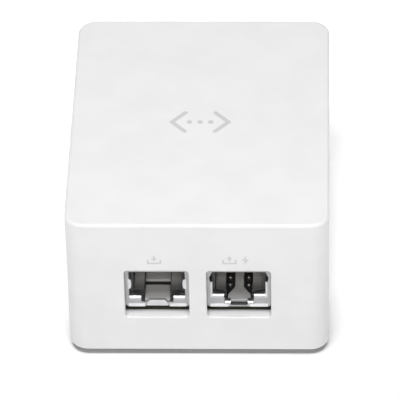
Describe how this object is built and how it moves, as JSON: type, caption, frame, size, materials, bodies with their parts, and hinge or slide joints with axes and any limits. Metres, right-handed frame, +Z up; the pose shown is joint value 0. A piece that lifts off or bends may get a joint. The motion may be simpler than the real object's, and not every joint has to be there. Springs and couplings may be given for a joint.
{
  "type": "power over ethernet injector",
  "caption": "Mains-powered white box that adds power to a network cable, with in and out network jacks at the front and a mains inlet at the back.",
  "frame": {"origin": "middle of the footprint, on the ground under the rubber feet", "axes": "+Z up, -Y out of the face with the two network jacks, +Y out of the face with the mains inlet, +X to the right when facing the jacks"},
  "size_m": [0.065, 0.0824, 0.0424],
  "materials": {
    "case_plastic": "fine satin moulded white plastic",
    "base_plastic": "satin mid-grey moulded plastic",
    "foot_rubber": "matt dark grey rubber",
    "screw_steel": "zinc-plated steel",
    "shield_metal": "tin-plated stamped sheet, semi-gloss",
    "jack_plastic": "satin black moulded plastic",
    "contact_gold": "gold-plated wire, bright",
    "inlet_plastic": "satin black moulded plastic",
    "pin_nickel": "nickel-plated brass, bright",
    "board_laminate": "green solder mask over glass laminate",
    "insulation_fibre": "grey-buff insulating fibre sheet",
    "fuse_glass": "clear glass tube with metal caps",
    "disc_lacquer": "blue dipped lacquer",
    "film_capacitor_case": "yellow moulded plastic",
    "ferrite": "dark sintered ferrite",
    "winding_wire": "enamelled copper wire",
    "winding_tape": "yellow polyester tape",
    "chip_epoxy": "black moulded epoxy",
    "capacitor_sleeve": "dark shrink sleeve with bare aluminium top",
    "heat_sink_aluminium": "extruded aluminium"
  },
  "bodies": {
    "injector": {"upper_case": "case_plastic", "base_plate": "base_plastic", "rubber_foot_1": "foot_rubber", "rubber_foot_2": "foot_rubber", "rubber_foot_3": "foot_rubber", "rubber_foot_4": "foot_rubber", "case_screw_1": "screw_steel", "case_screw_2": "screw_steel", "case_screw_3": "screw_steel", "case_screw_4": "screw_steel", "board_screw_1": "screw_steel", "board_screw_2": "screw_steel", "board_screw_3": "screw_steel", "board_screw_4": "screw_steel", "in_jack_shield": "shield_metal", "out_jack_shield": "shield_metal", "in_jack_housing": "jack_plastic", "in_jack_insert": "jack_plastic", "out_jack_housing": "jack_plastic", "out_jack_insert": "jack_plastic", "inlet_body": "inlet_plastic", "inlet_pin_line": "pin_nickel", "inlet_pin_neutral": "pin_nickel", "inlet_pin_earth": "pin_nickel", "main_board": "board_laminate", "insulation_sheet": "insulation_fibre", "fuse": "fuse_glass", "varistor": "disc_lacquer", "x_capacitor": "film_capacitor_case", "choke_core": "ferrite", "transformer_core": "ferrite", "choke_winding_1": "winding_wire", "choke_winding_2": "winding_wire", "transformer_winding": "winding_tape", "bridge_rectifier": "chip_epoxy", "switching_transistor": "chip_epoxy", "output_diode": "chip_epoxy", "optocoupler": "chip_epoxy", "lan_transformer": "chip_epoxy", "pse_controller": "chip_epoxy", "bulk_capacitor": "capacitor_sleeve", "output_capacitor_1": "capacitor_sleeve", "output_capacitor_2": "capacitor_sleeve", "heat_sink": "heat_sink_aluminium"},
    "in_contacts": {"in_contact_1": "contact_gold", "in_contact_2": "contact_gold", "in_contact_3": "contact_gold", "in_contact_4": "contact_gold", "in_contact_5": "contact_gold", "in_contact_6": "contact_gold", "in_contact_7": "contact_gold", "in_contact_8": "contact_gold"},
    "out_contacts": {"out_contact_1": "contact_gold", "out_contact_2": "contact_gold", "out_contact_3": "contact_gold", "out_contact_4": "contact_gold", "out_contact_5": "contact_gold", "out_contact_6": "contact_gold", "out_contact_7": "contact_gold", "out_contact_8": "contact_gold"}
  },
  "joints": [
    {"name": "in_contacts_flex", "type": "hinge", "parent": "injector", "child": "in_contacts", "pos_m": [-0.01016, -0.0351, 0.0252], "axis": [1, 0, 0], "range_deg": [0, 9], "stiffness_Nm_per_rad": 0.24},
    {"name": "out_contacts_flex", "type": "hinge", "parent": "injector", "child": "out_contacts", "pos_m": [0.01016, -0.0351, 0.0252], "axis": [1, 0, 0], "range_deg": [0, 9], "stiffness_Nm_per_rad": 0.24}
  ]
}
